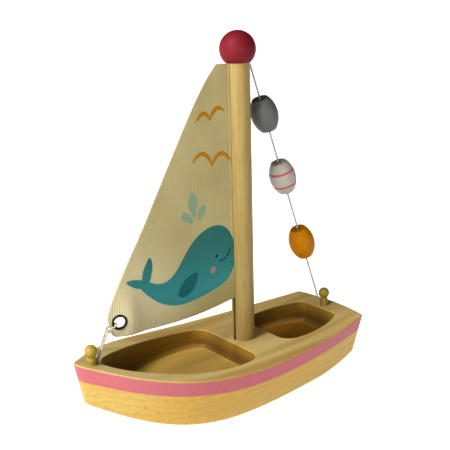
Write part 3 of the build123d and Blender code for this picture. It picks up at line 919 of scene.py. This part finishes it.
eyelet_profile = rolled_flange(1) + [
    (GROMMET_BORE, BARREL_END),
    (GROMMET_BORE + BARREL_WALL, BARREL_END),
    (GROMMET_BORE + BARREL_WALL, FLANGE_BASE),
]
eyelet = lathed("grommet_eyelet", eyelet_profile, grommet_frame, metal_finish)
washer_profile = [(max(radius, WASHER_BORE), height) for radius, height in rolled_flange(-1)]
washer = lathed("grommet_backing", washer_profile, grommet_frame, metal_finish)
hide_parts("grommet")
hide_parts("grommet_washer")
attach(eyelet, "sail")
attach(washer, "sail")


# ---- cords --------------------------------------------------------------------------------
CORD_RADIUS = 0.65
STRANDS = 3
STRAND_PITCH = 3.4
STRAND_GROOVE, STRAND_CROWN = 0.17, 0.03
TUBE_SIDES = 18
KNOT_POINTS = 72
STAY_STEP, CLEW_STEP, TAIL_STEP = 0.28, 0.26, 0.2
STAY_KNOT_SIZE, STAY_KNOT_RADIUS = 1.05, 0.58
STAY_KNOT_BELOW_BEAD = 0.9
CLEW_KNOT_SIZE, CLEW_KNOT_RADIUS = 1.45, 0.62
TAIL_RADIUS = 0.6


def route_line(points):
    """Points along the smooth line of a route: a NURBS spline with the route's points as its controls."""
    data = bpy.data.curves.new("route", "CURVE")
    data.dimensions = "3D"
    data.resolution_u = 24
    spline = data.splines.new("NURBS")
    spline.points.add(len(points) - 1)
    for control, point in zip(spline.points, points):
        control.co = (*metres(point), 1.0)
    spline.order_u = 3
    spline.use_endpoint_u = True
    carrier = bpy.data.objects.new("route", data)
    scene.collection.objects.link(carrier)
    mesh = bpy.data.meshes.new_from_object(carrier.evaluated_get(bpy.context.evaluated_depsgraph_get()))
    line = [vertex.co.copy() for vertex in mesh.vertices]
    bpy.data.objects.remove(carrier)
    bpy.data.meshes.remove(mesh)
    bpy.data.curves.remove(data)
    return line


def line_length(line):
    """Length of a polyline, in its points' units."""
    return float(np.linalg.norm(np.diff(line, axis=0), axis=1).sum())


def even_line(line, spacing):
    """The line's points, evenly spaced."""
    points = np.array([tuple(p) for p in line])
    count = max(8, int(line_length(points) / spacing))
    return resampled(points, count + 1)


def twisted_tube(line, radius, closed=False):
    """Vertices and faces of a laid cord, a tube with one lobe for each strand that turns along it.

    The line is in metres and the radius in millimetres.
    """
    count = len(line)
    tangents = np.roll(line, -1, axis=0) - np.roll(line, 1, axis=0)
    if not closed:
        tangents[0], tangents[-1] = line[1] - line[0], line[-1] - line[-2]
    tangents /= np.linalg.norm(tangents, axis=1)[:, None]
    start = np.array((0.0, 0.0, 1.0)) if abs(tangents[0][2]) < 0.8 else np.array((0.0, 1.0, 0.0))
    side = np.cross(tangents[0], start)
    side /= np.linalg.norm(side)
    frames = []
    for i in range(count):
        side = side - tangents[i] * (side @ tangents[i])
        side /= np.linalg.norm(side)
        frames.append((side, np.cross(tangents[i], side)))
    correction = 0.0
    if closed:
        last = frames[-1][0] - tangents[0] * (frames[-1][0] @ tangents[0])
        correction = -math.atan2(last @ frames[0][1], last @ frames[0][0])
    steps = np.linalg.norm(np.diff(line, axis=0, append=line[:1] if closed else line[-1:]), axis=1)
    travelled = np.concatenate([[0.0], np.cumsum(steps)[:-1]])
    pitch = STRAND_PITCH
    if closed:
        # A whole number of turns, so that the strands meet where the tube closes
        total = max(travelled[-1], 1e-9)
        pitch = total / max(1, round(total / (pitch * MM * STRANDS))) / STRANDS / MM
    vertices = []
    for i in range(count):
        first, second = frames[i]
        untwist = correction * i / count
        taper = 1.0
        if not closed:
            taper = min(1.0, 0.55 + 0.45 * min(i, count - 1 - i) / 2)
        for k in range(TUBE_SIDES):
            angle = 2 * math.pi * k / TUBE_SIDES
            phase = STRANDS * (angle + untwist) - 2 * math.pi * travelled[i] / (pitch * MM)
            lobe = 1.0 - STRAND_GROOVE * (0.5 - 0.5 * math.cos(phase)) ** 1.6 + STRAND_CROWN
            reach = radius * MM * lobe * taper
            direction = first * math.cos(angle + untwist) + second * math.sin(angle + untwist)
            vertices.append(line[i] + direction * reach)
    faces = []
    last_ring = count if closed else count - 1
    for i in range(last_ring):
        ring, following = i * TUBE_SIDES, (i + 1) % count * TUBE_SIDES
        for k in range(TUBE_SIDES):
            after = (k + 1) % TUBE_SIDES
            faces.append((ring + k, ring + after, following + after, following + k))
    if not closed:
        faces.append(tuple(range(TUBE_SIDES))[::-1])
        faces.append(tuple((count - 1) * TUBE_SIDES + k for k in range(TUBE_SIDES)))
    return vertices, faces


def joined_mesh(name, parts):
    """One mesh from several lists of vertices and faces."""
    vertices, faces = [], []
    for part_vertices, part_faces in parts:
        start = len(vertices)
        vertices += [tuple(v) for v in part_vertices]
        faces += [tuple(v + start for v in face) for face in part_faces]
    return closed_mesh(name, vertices, faces)


def knot_line(centre, size, axis, turn):
    """Closed trefoil, the shape of a small overhand knot, with its flat side across an axis."""
    t = np.arange(KNOT_POINTS) / KNOT_POINTS * 2 * math.pi + turn
    flat = np.stack(
        [np.sin(t) + 2 * np.sin(2 * t), np.cos(t) - 2 * np.cos(2 * t), -1.25 * np.sin(3 * t)], axis=1
    )
    flat *= size / 3.0
    up = Vector(axis).normalized()
    rotation = np.array(up.to_track_quat("Z", "Y").to_matrix())
    return (np.array(centre) + flat @ rotation.T) * MM


def make_cotton(name, light, dark):
    """Soft spun cotton: bright fibres, dirtier in patches."""
    finish = Finish(name, Roughness=0.88, Specular_IOR_Level=0.18, Sheen_Weight=0.25, Sheen_Roughness=0.6)
    point = finish.point()
    fibre = finish.noise(point, 2400, 3.0, 0.7)
    drift = finish.noise(point, 260, 2.0)
    colour = finish.mix(finish.step(fibre, 0.3, 0.72), dark, light)
    colour = finish.mix(finish.step(drift, 0.35, 0.7, 0.0, 0.3), colour, dark)
    return finish.finish(colour, finish.bump(fibre, 0.06 * MM, 0.6))


def cotton_piece(name, parts, material):
    """Shown piece of cord made of several tubes."""
    return new_piece(name, joined_mesh(name, parts), material)


white_cotton = make_cotton("white_cord_cotton", rgb(210, 205, 190), rgb(168, 161, 144))
stay_cotton = make_cotton("stay_cord_cotton", rgb(206, 206, 202), rgb(158, 157, 152))

STAY_ROUTE = [
    (-27.0, 0.0, 233.2),
    (-31.4, 0.0, 233.2),
    (-34.4, 0.0, 233.2),
    (-36.9, 0.0, 225.6),
    (-101.8, 0.0, 41.9),
    (-103.5, 0.0, 37.1),
    (-103.5, 0.0, 32.2),
]
CLEW_ROUTE = [
    (99.5, 0.68, 45.7),
    (99.5, 0.68, 50.2),
    (97.7, 0.75, 54.4),
    (91.4, 0.8, 69.0),
    (89.0, 1.0, 70.8),
    (83.0, 1.9, 72.8),
    (83.0, -3.0, 72.8),
    (89.0, -3.6, 70.8),
    (91.4, -1.3, 69.0),
    (97.7, -0.75, 54.4),
    (99.5, -0.68, 50.2),
    (99.5, -0.68, 45.7),
]
TAIL_ROUTE = [(89.6, 0.6, 69.6), (88.2, 1.7, 68.6), (86.9, 1.7, 67.4), (86.3, 1.0, 66.0)]
CLEW_KNOT_CENTRE, CLEW_KNOT_AXIS = (90.3, -0.7, 69.9), (-0.5, 0.2, 0.8)

# Backstay with the knots under the beads
stay_line = even_line(route_line(STAY_ROUTE), STAY_STEP * MM)
stay_tube = twisted_tube(stay_line, CORD_RADIUS)
stay_piece = cotton_piece("stay_cord_laid", [stay_tube], stay_cotton)
knot_tubes = []
for number, node_name in enumerate(BEAD_HEIGHTS):
    below = bead_centre(node_name) - STAY_UP * (BEAD_LENGTH / 2 + STAY_KNOT_BELOW_BEAD * MM)
    knot = knot_line(tuple(below / MM), STAY_KNOT_SIZE, STAY_UP, turn=0.7 * number)
    knot_tubes.append(twisted_tube(knot, STAY_KNOT_RADIUS, closed=True))
stay_knots = cotton_piece("stay_knots_laid", knot_tubes, stay_cotton)
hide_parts("stay_cord")
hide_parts("stay_knots")
for piece in (stay_piece, stay_knots):
    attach(piece, "boat")

# Clew cord: doubled through the grommet, knotted, and both ends trapped beside the bow peg
clew_line = even_line(route_line(CLEW_ROUTE), CLEW_STEP * MM)
clew_knot = knot_line(CLEW_KNOT_CENTRE, CLEW_KNOT_SIZE, CLEW_KNOT_AXIS, turn=0.4)
clew_tail = even_line(route_line(TAIL_ROUTE), TAIL_STEP * MM)
clew_tube = twisted_tube(clew_line, CORD_RADIUS)
clew_piece = cotton_piece("clew_cord_laid", [clew_tube], white_cotton)
knot_parts = [
    twisted_tube(clew_knot, CLEW_KNOT_RADIUS, closed=True),
    twisted_tube(clew_tail, TAIL_RADIUS),
]
clew_knot_piece = cotton_piece("clew_knot", knot_parts, white_cotton)
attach(clew_knot_piece, "sail")
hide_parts("clew_cord")
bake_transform(clew_piece)

# ---- floor --------------------------------------------------------------------------------
PAPER_GLOW = 0.86
FLOOR_RADIUS = 4.0
FLOOR_RINGS = (0.4, 1.2, 2.4)
FLOOR_SEGMENTS = 72
SWEEP_RADIUS = 0.5
SWEEP_HEIGHT = 0.52
SWEEP_STEPS = 8


def make_floor():
    """Round sheet of lit white paper that curves up at its rim."""
    profile = [(radius, 0.0) for radius in (*FLOOR_RINGS, FLOOR_RADIUS - SWEEP_RADIUS)]
    for step in range(1, SWEEP_STEPS + 1):
        angle = math.pi / 2 * step / SWEEP_STEPS
        rim_x = FLOOR_RADIUS - SWEEP_RADIUS + SWEEP_RADIUS * math.sin(angle)
        profile.append((rim_x, SWEEP_RADIUS * (1 - math.cos(angle))))
    profile.append((FLOOR_RADIUS, SWEEP_HEIGHT))
    vertices, faces = [(0.0, 0.0, 0.0)], []
    for radius, height in profile:
        for k in range(FLOOR_SEGMENTS):
            angle = 2 * math.pi * k / FLOOR_SEGMENTS
            vertices.append((radius * math.cos(angle), radius * math.sin(angle), height))
    for k in range(FLOOR_SEGMENTS):
        faces.append((0, 1 + k, 1 + (k + 1) % FLOOR_SEGMENTS))
    for ring in range(len(profile) - 1):
        for k in range(FLOOR_SEGMENTS):
            inner, outer = 1 + ring * FLOOR_SEGMENTS, 1 + (ring + 1) * FLOOR_SEGMENTS
            after = (k + 1) % FLOOR_SEGMENTS
            faces.append((inner + k, outer + k, outer + after, inner + after))
    mesh = bpy.data.meshes.new("floor")
    mesh.from_pydata(vertices, [], faces)
    for face in mesh.polygons:
        face.use_smooth = True
    finish = Finish("floor_paper", Roughness=0.9, Specular_IOR_Level=0.05, Emission_Strength=PAPER_GLOW)
    finish.surface.inputs["Emission Color"].default_value = (1.0, 1.0, 1.0, 1.0)
    tone = finish.noise(finish.point(), 3.0, 2.0)
    colour = finish.mix(finish.step(tone, 0.3, 0.7), (0.24, 0.24, 0.24, 1.0), (0.26, 0.26, 0.26, 1.0))
    finish.material.cycles.emission_sampling = "NONE"
    mesh.materials.append(finish.finish(colour))
    floor = bpy.data.objects.new("floor", mesh)
    scene.collection.objects.link(floor)


make_floor()
